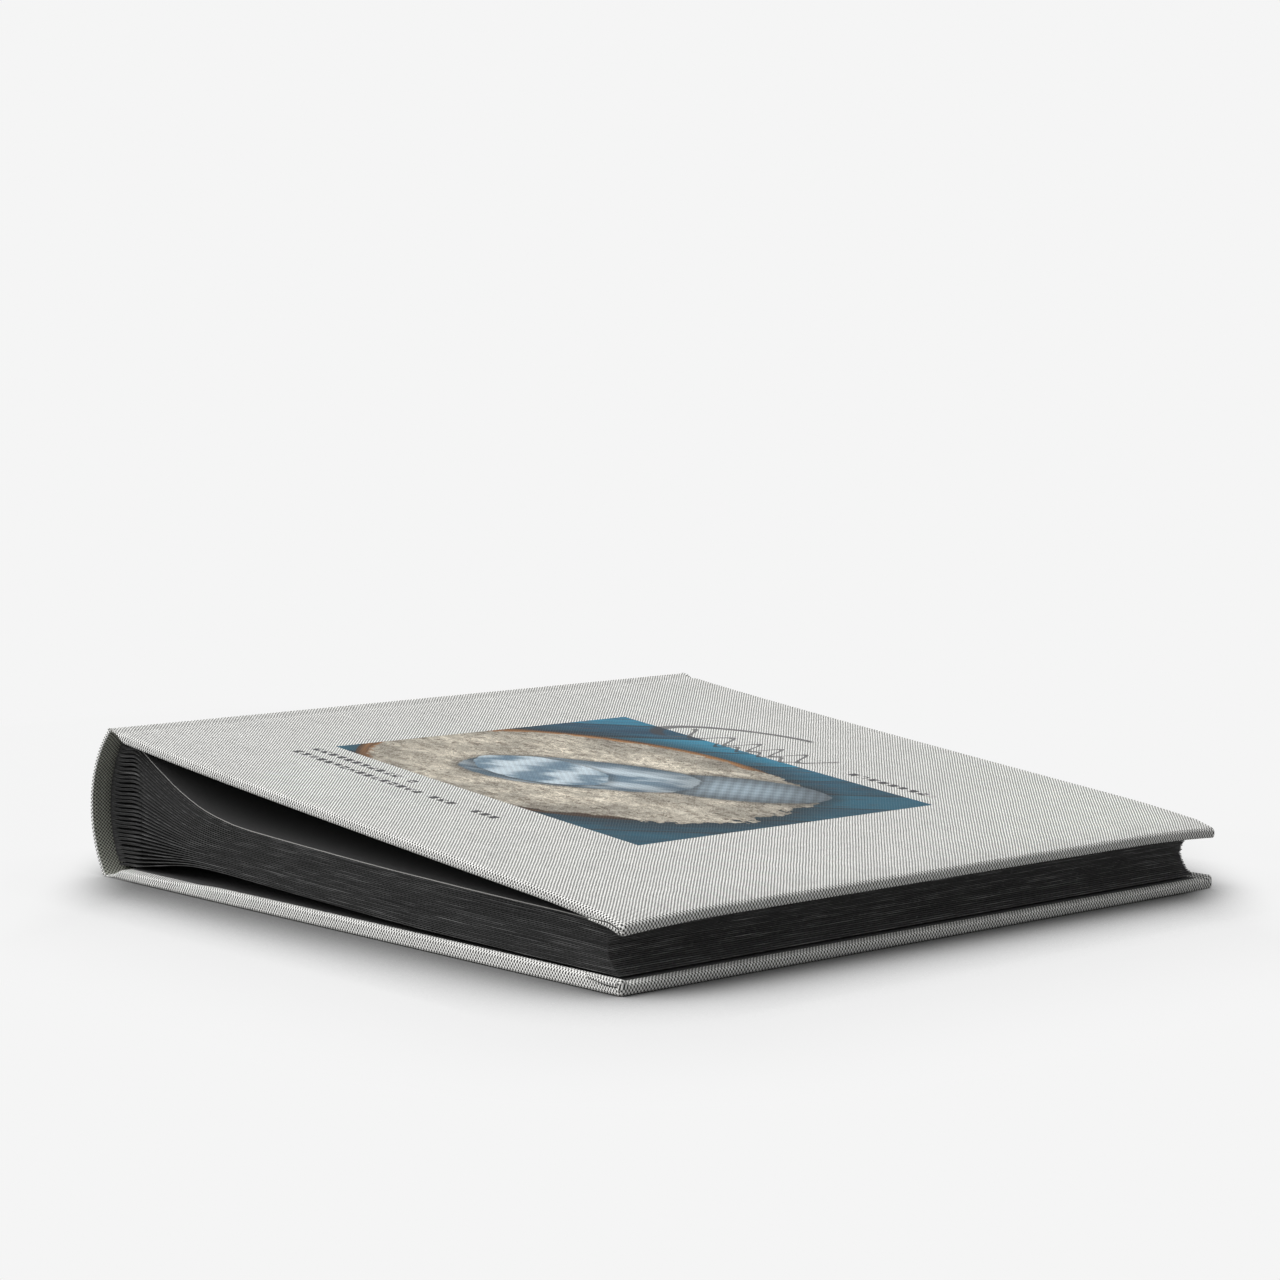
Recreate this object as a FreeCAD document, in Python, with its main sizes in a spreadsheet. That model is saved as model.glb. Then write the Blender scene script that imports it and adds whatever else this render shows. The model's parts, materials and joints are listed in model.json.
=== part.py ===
import FreeCAD, Part
import math
import os

import Sketcher

# A square scrapbook album: two linen-covered boards, a rounded linen spine, and black card
# leaves that each hinge on a guard strip behind the spine.
#
# Frame: millimetres, +Z up. The album lies on its back cover. X runs from the spine to the
# fore edge and Y from the tail edge to the head edge. The origin is the middle of the back
# cover's outer face. Every piece is drawn with X = 0 at the back cover's spine side and is
# moved to the origin by its Placement.

doc = FreeCAD.newDocument("album")

# ---------------------------------------------------------------- driving dimensions
SIZES = {
    "cover_width": (311.0, "spine side to fore edge of a cover"),
    "cover_height": (310.0, "tail edge to head edge of a cover"),
    "board_thickness": (3.0, "grey board inside each cover"),
    "cloth_thickness": (0.5, "linen glued over the boards"),
    "turn_in": (15.0, "linen folded over each edge to the inside"),
    "paper_thickness": (0.3, "black paper pasted inside each cover"),
    "back_joint": (10.0, "spine side of the back cover to its board"),
    "front_joint": (11.0, "front hinge line to the front board"),
    "edge_square": (5.0, "cover beyond the leaves at tail and head"),
    "fore_square": (6.0, "cover beyond the outer leaves at the fore edge"),
    "leaf_count": (30.0, "leaves in the block, both flyleaves included"),
    "leaf_thickness": (0.35, "black card of a leaf"),
    "fore_pitch": (0.603, "rise from leaf to leaf at the fore edge"),
    "knee_pitch": (0.6655, "rise from leaf to leaf where the block bends"),
    "guard_pitch": (1.63, "rise from leaf to leaf at the guards"),
    "fore_rise": (0.9, "lowest leaf above the back cover at the fore edge"),
    "knee_rise": (6.7, "lowest leaf above the back cover where it bends"),
    "guard_rise": (1.6, "lowest leaf above the back cover at its guard"),
    "guard_end_low": (18.0, "lowest leaf's fold line from the spine side"),
    "guard_end_high": (17.0, "highest leaf's fold line from the spine side"),
    "knee_low": (52.0, "bend of the lowest leaf from the spine side"),
    "knee_high": (60.0, "bend of the highest leaf from the spine side"),
    "bend_radius": (120.0, "radius of the bend in each leaf"),
    "hollow_depth": (6.0, "depth of the hollow in the fore edge"),
    "guard_thickness": (0.9, "folded guard strip that carries a leaf"),
    "guard_gap": (0.35, "fold clearance between guard and leaf"),
    "spine_foot": (3.8, "spine's foot behind the back cover's spine side"),
    "spine_sag": (10.8, "roundness of the spine"),
    "spine_card": (1.2, "flexible card in the spine"),
    "seat_gap": (0.25, "clearance of the guards from the spine lining"),
    "hinge_shift": (3.0, "front hinge line from the spine side"),
    "hinge_rise": (6.7, "front hinge line above the highest leaf's guard"),
    "hinge_gap": (0.45, "cloth left free at the front hinge line"),
    "rest_gap": (0.3, "closed front cover above the highest leaf"),
}

# A leaf that turns less than this at its bend is drawn without a round.
STRAIGHT_TURN = math.radians(1.0)

sheet = doc.addObject("Spreadsheet::Sheet", "Sizes")
for row, (alias, (value, meaning)) in enumerate(SIZES.items(), start=1):
    sheet.set(f"A{row}", meaning)
    sheet.set(f"B{row}", str(value))
    sheet.setAlias(f"B{row}", alias)
doc.recompute()


def size(alias):
    """A driving dimension as it appears in an expression."""
    return f"Sizes.{alias}"


def value_of(expression):
    """The number that an expression of the sheet gives."""
    return float(sheet.evalExpression(expression))


# ---------------------------------------------------------------- derived places
CLOTH = size("cloth_thickness")
BOARD = size("board_thickness")
PAPER = size("paper_thickness")
COVER = f"({BOARD} + 2 * {CLOTH})"
INSIDE = f"({COVER} + {PAPER})"
LEAF = size("leaf_thickness")
LEAF_HEIGHT = f"({size('cover_height')} - 2 * {size('edge_square')})"
TOP_LEAF = f"({size('leaf_count')} - 1)"
CENTRE_SHIFT = f"-{size('cover_width')} / 2"

TOP_GUARD = f"({INSIDE} + {size('guard_rise')} + {TOP_LEAF} * {size('guard_pitch')} + {LEAF})"
TOP_FORE = f"({INSIDE} + {size('fore_rise')} + {TOP_LEAF} * {size('fore_pitch')} + {LEAF})"
HINGE_X = size("hinge_shift")
HINGE_Z = f"({TOP_GUARD} + {size('hinge_rise')})"
OUTER_FORE_X = f"({size('cover_width')} - {size('fore_square')})"

# The front cover slopes down from its hinge until it rests on the highest leaf.
COVER_DROP = f"({HINGE_Z} - {COVER} + {CLOTH} / 2 - {PAPER} - {TOP_FORE} - {size('rest_gap')})"
COVER_SLOPE = f"atan({COVER_DROP} / ({OUTER_FORE_X} - {HINGE_X}))"

# The spine is an arc. Its chord leans from the foot, on the back cloth, to the front hinge.
SPINE_SHELL = f"({size('spine_card')} + 2 * {CLOTH})"
FOOT_X = f"(-{size('spine_foot')})"
CHORD_X = f"({HINGE_X} - {SPINE_SHELL} / 2 - {FOOT_X})"
CHORD_ROOM = f"({HINGE_Z} - {size('hinge_gap')} - {CLOTH})"
# The foot's slanted lower face leans too, so it is lifted to keep its inner corner off the cloth.
FOOT_Z = f"({CLOTH} + 2 * {SPINE_SHELL} * {CHORD_X} / {CHORD_ROOM})"
CHORD_Z = f"({HINGE_Z} - {size('hinge_gap')} - {FOOT_Z})"
CHORD = f"sqrt({CHORD_X} * {CHORD_X} + {CHORD_Z} * {CHORD_Z})"
SAG = size("spine_sag")
SPINE_RADIUS = f"({CHORD} * {CHORD} / (8 * {SAG}) + {SAG} / 2)"
SPINE_LEAN = f"atan({CHORD_X} / {CHORD_Z})"
ARC_SETBACK = f"({SPINE_RADIUS} - {SAG})"
ARC_X = f"({FOOT_X} + {CHORD_X} / 2 + {ARC_SETBACK} * cos({SPINE_LEAN}))"
ARC_Z = f"({FOOT_Z} + {CHORD_Z} / 2 - {ARC_SETBACK} * sin({SPINE_LEAN}))"


def along_block(low, high, share):
    """A place between the lowest leaf's and the highest leaf's."""
    return f"({low} + ({high} - {low}) * {share})"


def leaf_places(index):
    """Fold line, bend and fore edge of a leaf's lower face, as (x, z) pairs of expressions."""
    share = index / value_of(TOP_LEAF)
    hollow = f"{size('hollow_depth')} * {1 - (2 * share - 1) ** 2}"
    fold_x = along_block(size("guard_end_low"), size("guard_end_high"), share)
    fold_z = f"({INSIDE} + {size('guard_rise')} + {index} * {size('guard_pitch')})"
    knee_x = along_block(size("knee_low"), size("knee_high"), share)
    knee_z = f"({INSIDE} + {size('knee_rise')} + {index} * {size('knee_pitch')})"
    fore_x = f"({OUTER_FORE_X} - {hollow})"
    fore_z = f"({INSIDE} + {size('fore_rise')} + {index} * {size('fore_pitch')})"
    return (fold_x, fold_z), (knee_x, knee_z), (fore_x, fore_z)


def spine_inside(height):
    """X of the spine's inner face at a height, as an expression."""
    radius = f"({SPINE_RADIUS} - {SPINE_SHELL} - {size('seat_gap')})"
    reach = f"({height} - {ARC_Z})"
    return f"({ARC_X} - sqrt({radius} * {radius} - {reach} * {reach}))"


# ---------------------------------------------------------------- sketch helpers
START, END, CENTRE = 1, 2, 3
ORIGIN = (-1, 1)


def new_body(label):
    body = doc.addObject("PartDesign::Body", label)
    body.Label = label
    return body


def new_sketch(body, name, role="XZ_Plane"):
    """An empty sketch on one of the body's own origin planes."""
    plane = [item for item in body.Origin.OriginFeatures if item.Role == role][0]
    sketch = body.newObject("Sketcher::SketchObject", f"{body.Name}_{name}")
    sketch.AttachmentSupport = [(plane, "")]
    sketch.MapMode = "FlatFace"
    return sketch


def bind(sketch, kind, where, expression):
    """A dimension of the sketch that follows an expression of the sheet."""
    number = sketch.addConstraint(Sketcher.Constraint(kind, *where, value_of(expression)))
    sketch.setExpression(f"Constraints[{number}]", expression)


def pin_point(sketch, vertex, place):
    """Hold a vertex at a place given by two expressions."""
    bind(sketch, "DistanceX", (*ORIGIN, *vertex), place[0])
    bind(sketch, "DistanceY", (*ORIGIN, *vertex), place[1])


def vector(x, z):
    return FreeCAD.Vector(x, z, 0)


def add_outline(sketch, corners):
    """A closed outline of straight lines through corners given by expressions."""
    points = [vector(value_of(x), value_of(z)) for x, z in corners]
    lines = [sketch.addGeometry(Part.LineSegment(start, end))
             for start, end in zip(points, points[1:] + points[:1])]
    for line, following in zip(lines, lines[1:] + lines[:1]):
        sketch.addConstraint(Sketcher.Constraint("Coincident", line, END, following, START))
    for line, corner in zip(lines, corners):
        pin_point(sketch, (line, START), corner)


def rectangle(left, right, low, high):
    return [(left, low), (right, low), (right, high), (left, high)]


def add_pad(body, sketch, depth):
    """Give the sketch its depth along Y, half to each side."""
    pad = body.newObject("PartDesign::Pad", f"{sketch.Name}_pad")
    pad.Profile = sketch
    pad.SideType = "Symmetric"
    pad.setExpression("Length", depth)
    return pad


def add_pocket(body, sketch, depth, cut_volume):
    """Cut the sketch out of the body, half the depth to each side, and prove that it cut."""
    doc.recompute()
    before = body.Shape.Volume
    pocket = body.newObject("PartDesign::Pocket", f"{sketch.Name}_pocket")
    pocket.Profile = sketch
    pocket.SideType = "Symmetric"
    pocket.setExpression("Length", depth)
    doc.recompute()
    removed = before - body.Shape.Volume
    if abs(removed - cut_volume) > 0.01 * cut_volume:
        raise RuntimeError(f"{pocket.Name} cut {removed:.1f} mm3, not {cut_volume:.1f} mm3")


# ---------------------------------------------------------------- placements
def place_flat(body):
    """For the pieces drawn where they lie: only the shift to the origin."""
    body.setExpression("Placement.Base.x", CENTRE_SHIFT)


def place_leaning(body, x, z, angle):
    """For the pieces drawn upright or flat, then leaned about the Y axis at (x, z)."""
    body.Placement = FreeCAD.Placement(
        FreeCAD.Vector(0, 0, 0), FreeCAD.Rotation(FreeCAD.Vector(0, 1, 0), value_of(angle)))
    body.setExpression("Placement.Base.x", f"{x} {CENTRE_SHIFT}")
    body.setExpression("Placement.Base.z", z)
    body.setExpression("Placement.Rotation.Angle", angle)


def place_front(body):
    place_leaning(body, HINGE_X, HINGE_Z, COVER_SLOPE)


def place_spine(body):
    place_leaning(body, FOOT_X, FOOT_Z, SPINE_LEAN)


# ---------------------------------------------------------------- covers
# Each cover lists its layers outside in, as (low, high) pairs of expressions. The back
# cover is drawn on the table, and the front cover with its hinge line at the origin.
BACK_LAYERS = {
    "skin": ("0", CLOTH),
    "board": (CLOTH, f"({CLOTH} + {BOARD})"),
    "turn": (f"({CLOTH} + {BOARD})", COVER),
    "paper": (COVER, INSIDE),
}
FRONT_LAYERS = {
    "skin": (f"(-{CLOTH} / 2)", f"({CLOTH} / 2)"),
    "board": (f"(-{CLOTH} / 2 - {BOARD})", f"(-{CLOTH} / 2)"),
    "turn": (f"({CLOTH} / 2 - {COVER})", f"(-{CLOTH} / 2 - {BOARD})"),
    "paper": (f"({CLOTH} / 2 - {INSIDE})", f"({CLOTH} / 2 - {COVER})"),
}
FORE_EDGE = size("cover_width")
BOARD_FORE = f"({FORE_EDGE} - {CLOTH})"
WINDOW_FORE = f"({FORE_EDGE} - {size('turn_in')})"
BOARD_HEIGHT = f"({size('cover_height')} - 2 * {CLOTH})"
WINDOW_HEIGHT = f"({size('cover_height')} - 2 * {size('turn_in')})"


def slab(label, left, right, layer, depth, place):
    """A flat layer of a cover: a padded rectangle."""
    body = new_body(label)
    sketch = new_sketch(body, "section")
    add_outline(sketch, rectangle(left, right, *layer))
    add_pad(body, sketch, depth)
    place(body)
    return body


def area_of(left, right, layer):
    """Area of a rectangle of a cover's section."""
    return value_of(f"({right} - {left}) * ({layer[1]} - {layer[0]})")


def cover_cloth(label, layers, joint_start, board_start, place):
    """Linen over one board: outer skin, wrapped edges and turn-ins, and the joint strip."""
    body = new_body(label)
    whole = new_sketch(body, "whole")
    skin_low, skin_high = layers["skin"]
    turn_low, turn_high = layers["turn"]
    upward = value_of(turn_low) > value_of(skin_low)
    inner_face = turn_high if upward else turn_low
    outer_face = skin_low if upward else skin_high
    skin_inside = skin_high if upward else skin_low
    add_outline(whole, [
        (joint_start, outer_face),
        (FORE_EDGE, outer_face),
        (FORE_EDGE, inner_face),
        (board_start, inner_face),
        (board_start, skin_inside),
        (joint_start, skin_inside),
    ])
    add_pad(body, whole, size("cover_height"))
    cavity = new_sketch(body, "board_cavity")
    add_outline(cavity, rectangle(board_start, BOARD_FORE, *layers["board"]))
    cavity_volume = area_of(board_start, BOARD_FORE, layers["board"]) * value_of(BOARD_HEIGHT)
    add_pocket(body, cavity, BOARD_HEIGHT, cavity_volume)
    window = new_sketch(body, "window")
    add_outline(window, rectangle(board_start, WINDOW_FORE, *layers["turn"]))
    window_volume = area_of(board_start, WINDOW_FORE, layers["turn"]) * value_of(WINDOW_HEIGHT)
    add_pocket(body, window, WINDOW_HEIGHT, window_volume)
    place(body)
    return body


def cover(side, layers, joint_start, board_start, place):
    """Board, linen, infill card and pasted paper of one cover."""
    paper_height = f"({size('cover_height')} - 2 * {size('edge_square')})"
    return [
        slab(f"{side}_board", board_start, BOARD_FORE, layers["board"], BOARD_HEIGHT, place),
        cover_cloth(f"{side}_cover_cloth", layers, joint_start, board_start, place),
        slab(f"{side}_infill_card", board_start, WINDOW_FORE, layers["turn"],
             WINDOW_HEIGHT, place),
        slab(f"{side}_pasted_paper", board_start, f"({FORE_EDGE} - {size('edge_square')})",
             layers["paper"], paper_height, place),
    ]


parts = cover("back", BACK_LAYERS, FOOT_X, size("back_joint"), place_flat)
parts += cover("front", FRONT_LAYERS, size("hinge_gap"), size("front_joint"), place_front)


# ---------------------------------------------------------------- spine
def add_arc_layer(sketch, outer_depth, inner_depth):
    """A slice of the spine's arc between two depths below its outer face."""
    centre = (ARC_SETBACK, f"{CHORD} / 2")
    middle = vector(value_of(centre[0]), value_of(centre[1]))
    top = value_of(CHORD)
    arcs = []
    for depth in (outer_depth, inner_depth):
        radius = value_of(f"{SPINE_RADIUS} - {depth}")
        across = math.sqrt(radius ** 2 - (top / 2) ** 2)
        half_turn = math.atan2(top / 2, across)
        circle = Part.Circle(middle, FreeCAD.Vector(0, 0, 1), radius)
        arc = Part.ArcOfCircle(circle, math.pi - half_turn, math.pi + half_turn)
        arcs.append((sketch.addGeometry(arc), middle.x - across))
    (outer, outer_x), (inner, inner_x) = arcs
    upper = sketch.addGeometry(Part.LineSegment(vector(outer_x, top), vector(inner_x, top)))
    lower = sketch.addGeometry(Part.LineSegment(vector(outer_x, 0), vector(inner_x, 0)))
    for line, vertex in ((upper, START), (lower, END)):
        sketch.addConstraint(Sketcher.Constraint("Coincident", line, START, outer, vertex))
        sketch.addConstraint(Sketcher.Constraint("Coincident", line, END, inner, vertex))
        sketch.addConstraint(Sketcher.Constraint("Horizontal", line))
    sketch.addConstraint(Sketcher.Constraint("Coincident", inner, CENTRE, outer, CENTRE))
    pin_point(sketch, (outer, CENTRE), centre)
    bind(sketch, "Radius", (outer,), f"{SPINE_RADIUS} - {outer_depth}")
    bind(sketch, "Radius", (inner,), f"{SPINE_RADIUS} - {inner_depth}")
    bind(sketch, "DistanceY", (*ORIGIN, outer, START), CHORD)
    bind(sketch, "DistanceY", (*ORIGIN, outer, END), "0")


def segment_area(radius):
    """Area between the spine's arc of this radius and its chord."""
    half_chord = value_of(CHORD) / 2
    half_turn = math.asin(half_chord / radius)
    return radius ** 2 * half_turn - half_chord * math.sqrt(radius ** 2 - half_chord ** 2)


def arc_layer_area(outer_depth, inner_depth):
    """Area of a layer: its two segments, less the strip between their chords."""
    half_chord = value_of(CHORD) / 2
    outer = value_of(f"{SPINE_RADIUS} - {outer_depth}")
    inner = value_of(f"{SPINE_RADIUS} - {inner_depth}")
    outer_offset = math.sqrt(outer ** 2 - half_chord ** 2)
    inner_offset = math.sqrt(inner ** 2 - half_chord ** 2)
    strip = 2 * half_chord * (outer_offset - inner_offset)
    return segment_area(outer) + strip - segment_area(inner)


SPINE_SKIN = CLOTH
SPINE_CARD = f"({CLOTH} + {size('spine_card')})"


def arc_layer(label, outer_depth, inner_depth, depth):
    """A curved layer of the spine."""
    body = new_body(label)
    sketch = new_sketch(body, "arc")
    add_arc_layer(sketch, outer_depth, inner_depth)
    add_pad(body, sketch, depth)
    place_spine(body)
    return body


def spine_cloth():
    """Linen over the spine card, turned in at tail and head."""
    body = arc_layer("spine_cloth", "0", SPINE_SHELL, size("cover_height"))
    for name, layer, depth in (("card_cavity", (SPINE_SKIN, SPINE_CARD), BOARD_HEIGHT),
                               ("window", (SPINE_CARD, SPINE_SHELL), WINDOW_HEIGHT)):
        sketch = new_sketch(body, name)
        add_arc_layer(sketch, *layer)
        add_pocket(body, sketch, depth, arc_layer_area(*layer) * value_of(depth))
    return body


parts.append(spine_cloth())
parts.append(arc_layer("spine_card", SPINE_SKIN, SPINE_CARD, BOARD_HEIGHT))
parts.append(arc_layer("spine_lining", SPINE_CARD, SPINE_SHELL, WINDOW_HEIGHT))


# ---------------------------------------------------------------- guards and leaves
def guard_corners(index):
    """Outline of one guard strip, from the spine lining to its leaf's fold line."""
    (fold_x, fold_z), _, _ = leaf_places(index)
    front = f"({fold_x} - {size('guard_gap')})"
    middle = f"({fold_z} + {LEAF} / 2)"
    half = f"{size('guard_thickness')} / 2"
    low = f"({middle} - {half})"
    high = f"({middle} + {half})"
    return [(spine_inside(low), low), (front, low), (front, high), (spine_inside(high), high)]


def guard_strips():
    """All guard strips in one node, each a solid of its own."""
    body = new_body("guard_strips")
    body.AllowCompound = True
    sketch = new_sketch(body, "strips")
    for index in range(int(value_of(size("leaf_count")))):
        add_outline(sketch, guard_corners(index))
    add_pad(body, sketch, LEAF_HEIGHT)
    place_flat(body)
    return body


def bend_points(fold, knee, fore, radius):
    """Turn at the knee, and where a round of this radius leaves the two straight runs."""
    first = (knee - fold).normalize()
    second = (fore - knee).normalize()
    turn = math.atan2(first.x * second.y - first.y * second.x, first.dot(second))
    reach = radius * math.tan(abs(turn) / 2)
    return turn, first, second, reach


def offset(direction, distance):
    """A step to the left of a direction."""
    return FreeCAD.Vector(-direction.y, direction.x, 0) * distance


def straight_leaf(sketch, places, first, second, thickness):
    """Outline of a leaf that hardly bends: six lines with a plain corner at the knee."""
    fold, knee, fore = [vector(value_of(x), value_of(z)) for x, z in places]
    half_turn = (offset(first, 1) + offset(second, 1)).normalize()
    knee_top = knee + half_turn * (thickness / half_turn.dot(offset(first, 1)))
    points = [fold, knee, fore, fore + offset(second, thickness), knee_top,
              fold + offset(first, thickness)]
    lines = [sketch.addGeometry(Part.LineSegment(start, end))
             for start, end in zip(points, points[1:] + points[:1])]
    for line, following in zip(lines, lines[1:] + lines[:1]):
        sketch.addConstraint(Sketcher.Constraint("Coincident", line, END, following, START))
    under_fold, under_fore, fore_end, upper_fore, upper_fold, fold_end = lines
    sketch.addConstraint(Sketcher.Constraint("Perpendicular", fore_end, under_fore))
    sketch.addConstraint(Sketcher.Constraint("Parallel", upper_fore, under_fore))
    sketch.addConstraint(Sketcher.Constraint("Parallel", upper_fold, under_fold))
    sketch.addConstraint(Sketcher.Constraint("Perpendicular", fold_end, under_fold))
    bind(sketch, "Distance", (fold_end,), LEAF)
    bind(sketch, "Distance", (fore_end,), LEAF)
    for line, place in zip(lines, places):
        pin_point(sketch, (line, START), place)


def bent_leaf(sketch, places, bend, thickness):
    """Outline of a leaf with a round bend: two straight runs joined by concentric arcs."""
    fold, knee, fore = [vector(value_of(x), value_of(z)) for x, z in places]
    turn, first, second, reach = bend
    side = math.copysign(1, turn)
    radius = value_of(size("bend_radius"))
    centre = knee - first * reach + offset(first, side * radius)
    rounds = []
    for lift in (0, thickness):
        circle = Part.Circle(centre, FreeCAD.Vector(0, 0, 1), radius - side * lift)
        leaves = -side * math.pi / 2 + math.atan2(first.y, first.x)
        arrives = -side * math.pi / 2 + math.atan2(second.y, second.x)
        arc = Part.ArcOfCircle(circle, min(leaves, arrives), max(leaves, arrives))
        rounds.append(arc)
    near, far = (START, END) if turn > 0 else (END, START)
    under_near = knee - first * reach
    under_far = knee + second * reach
    under_fold = sketch.addGeometry(Part.LineSegment(fold, under_near))
    under_arc = sketch.addGeometry(rounds[0])
    under_fore = sketch.addGeometry(Part.LineSegment(under_far, fore))
    fore_top = fore + offset(second, thickness)
    fold_top = fold + offset(first, thickness)
    fore_end = sketch.addGeometry(Part.LineSegment(fore, fore_top))
    upper_fore = sketch.addGeometry(
        Part.LineSegment(fore_top, under_far + offset(second, thickness)))
    upper_arc = sketch.addGeometry(rounds[1])
    upper_fold = sketch.addGeometry(
        Part.LineSegment(under_near + offset(first, thickness), fold_top))
    fold_end = sketch.addGeometry(Part.LineSegment(fold_top, fold))
    knee_point = sketch.addGeometry(Part.Point(knee), True)
    relations = [
        ("Tangent", under_fold, END, under_arc, near),
        ("Tangent", under_arc, far, under_fore, START),
        ("Coincident", under_fore, END, fore_end, START),
        ("Coincident", fore_end, END, upper_fore, START),
        ("Tangent", upper_fore, END, upper_arc, far),
        ("Tangent", upper_arc, near, upper_fold, START),
        ("Coincident", upper_fold, END, fold_end, START),
        ("Coincident", fold_end, END, under_fold, START),
        ("Coincident", upper_arc, CENTRE, under_arc, CENTRE),
        ("Perpendicular", fore_end, under_fore),
        ("Parallel", upper_fore, under_fore),
        ("Parallel", upper_fold, under_fold),
        ("Perpendicular", fold_end, under_fold),
        ("PointOnObject", knee_point, START, under_fold),
        ("PointOnObject", knee_point, START, under_fore),
    ]
    for relation in relations:
        sketch.addConstraint(Sketcher.Constraint(*relation))
    bind(sketch, "Distance", (fore_end,), LEAF)
    bind(sketch, "Radius", (under_arc,), size("bend_radius"))
    pin_point(sketch, (under_fold, START), places[0])
    pin_point(sketch, (knee_point, START), places[1])
    pin_point(sketch, (under_fore, END), places[2])


def leaf(label, index):
    """One card leaf, from its fold line at the guard to the hollow fore edge."""
    body = new_body(label)
    sketch = new_sketch(body, "profile")
    places = leaf_places(index)
    fold, knee, fore = [vector(value_of(x), value_of(z)) for x, z in places]
    thickness = value_of(LEAF)
    bend = bend_points(fold, knee, fore, value_of(size("bend_radius")))
    if abs(bend[0]) < STRAIGHT_TURN:
        straight_leaf(sketch, places, bend[1], bend[2], thickness)
    else:
        bent_leaf(sketch, places, bend, thickness)
    add_pad(body, sketch, LEAF_HEIGHT)
    place_flat(body)
    return body


parts.append(guard_strips())
last = int(value_of(TOP_LEAF))
parts.append(leaf("back_flyleaf", 0))
for index in range(1, last):
    parts.append(leaf(f"leaf_{index:02d}", index))
parts.append(leaf("front_flyleaf", last))

# ---------------------------------------------------------------- checks and files
doc.recompute()
for item in doc.Objects:
    if "Invalid" in item.State or "Error" in item.State:
        raise RuntimeError(f"{item.Label} failed: {item.State}")
for part in parts:
    if part.Shape.isNull() or not part.Shape.isValid():
        raise RuntimeError(f"{part.Label} has no valid shape")

os.makedirs("parts", exist_ok=True)
for part in parts:
    part.Shape.exportStep(f"parts/{part.Label}.step")
print(f"{len(parts)} nodes written")
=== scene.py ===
# %% [markdown]
# # A linen scrapbook album
#
# The album is a stack of black card leaves between two boards covered in linen. This lesson
# dresses the construction model in linen, card and paper. Everything is in metres.

# %% Load the construction model
import json
import math

import bmesh
import bpy
import numpy as np
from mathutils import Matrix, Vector, noise


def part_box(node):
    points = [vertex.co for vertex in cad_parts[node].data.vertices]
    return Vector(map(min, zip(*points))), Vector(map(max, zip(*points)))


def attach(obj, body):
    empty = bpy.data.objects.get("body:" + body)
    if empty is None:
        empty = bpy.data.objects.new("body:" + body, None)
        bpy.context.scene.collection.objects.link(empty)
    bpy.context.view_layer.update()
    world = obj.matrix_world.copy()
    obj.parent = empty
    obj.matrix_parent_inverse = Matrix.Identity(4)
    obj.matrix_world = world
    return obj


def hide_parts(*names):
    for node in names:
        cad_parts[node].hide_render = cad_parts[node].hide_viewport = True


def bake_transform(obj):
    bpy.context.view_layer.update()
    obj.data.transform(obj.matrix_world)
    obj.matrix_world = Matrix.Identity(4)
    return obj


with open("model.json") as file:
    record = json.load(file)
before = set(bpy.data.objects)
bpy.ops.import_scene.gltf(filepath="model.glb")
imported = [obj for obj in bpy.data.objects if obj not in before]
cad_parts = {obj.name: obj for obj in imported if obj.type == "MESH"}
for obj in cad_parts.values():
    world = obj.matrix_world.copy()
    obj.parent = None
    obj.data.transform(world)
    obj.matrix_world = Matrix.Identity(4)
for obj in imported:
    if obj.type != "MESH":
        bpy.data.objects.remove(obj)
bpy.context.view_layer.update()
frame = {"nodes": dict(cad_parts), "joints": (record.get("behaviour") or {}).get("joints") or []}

MM = 0.001


def share_of(value, low, high):
    """How far a value has come from low to high, held between 0 and 1."""
    return min(max((value - low) / (high - low), 0.0), 1.0)


def eased(share):
    """An even rise from 0 to 1, made gentle at both ends."""
    return share * share * (3 - 2 * share)


# %% [markdown]
# ## Where things are
#
# Every place is read from the construction model. The front cover gets its own frame, sloped
# as its board is: s runs from the hinge to the fore edge, and n stands up from the cover.

# %% Read the main places
joints = {joint["name"]: joint for joint in frame["joints"]}
hinge = Vector(joints["front_cover_hinge"]["pos_m"])


def end_points(node):
    """The (x, z) points of a construction node at its tail end, without repeats."""
    vertices = [v.co for v in frame["nodes"][node].data.vertices]
    tail = min(v.y for v in vertices)
    points = {(round(v.x, 6), round(v.z, 6)) for v in vertices if abs(v.y - tail) < 1e-5}
    return sorted(points)


board_ends = end_points("front_board")
board_near = max(board_ends, key=lambda p: p[1])
board_far = max(board_ends, key=lambda p: p[0])
slope = math.atan2(board_near[1] - board_far[1], board_far[0] - board_near[0])
along = Vector((math.cos(slope), 0, -math.sin(slope)))
upward = Vector((math.sin(slope), 0, math.cos(slope)))


def cover_frame(x, z):
    """A point of the construction model as (s, n) in the front cover's frame."""
    offset = Vector((x, 0, z)) - Vector((hinge.x, 0, hinge.z))
    return offset.dot(along), offset.dot(upward)


def cover_extent(node):
    """Lowest s, highest s, lowest n and highest n of a node in the front cover's frame."""
    s_values, n_values = zip(*[cover_frame(x, z) for x, z in end_points(node)])
    return min(s_values), max(s_values), min(n_values), max(n_values)


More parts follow.
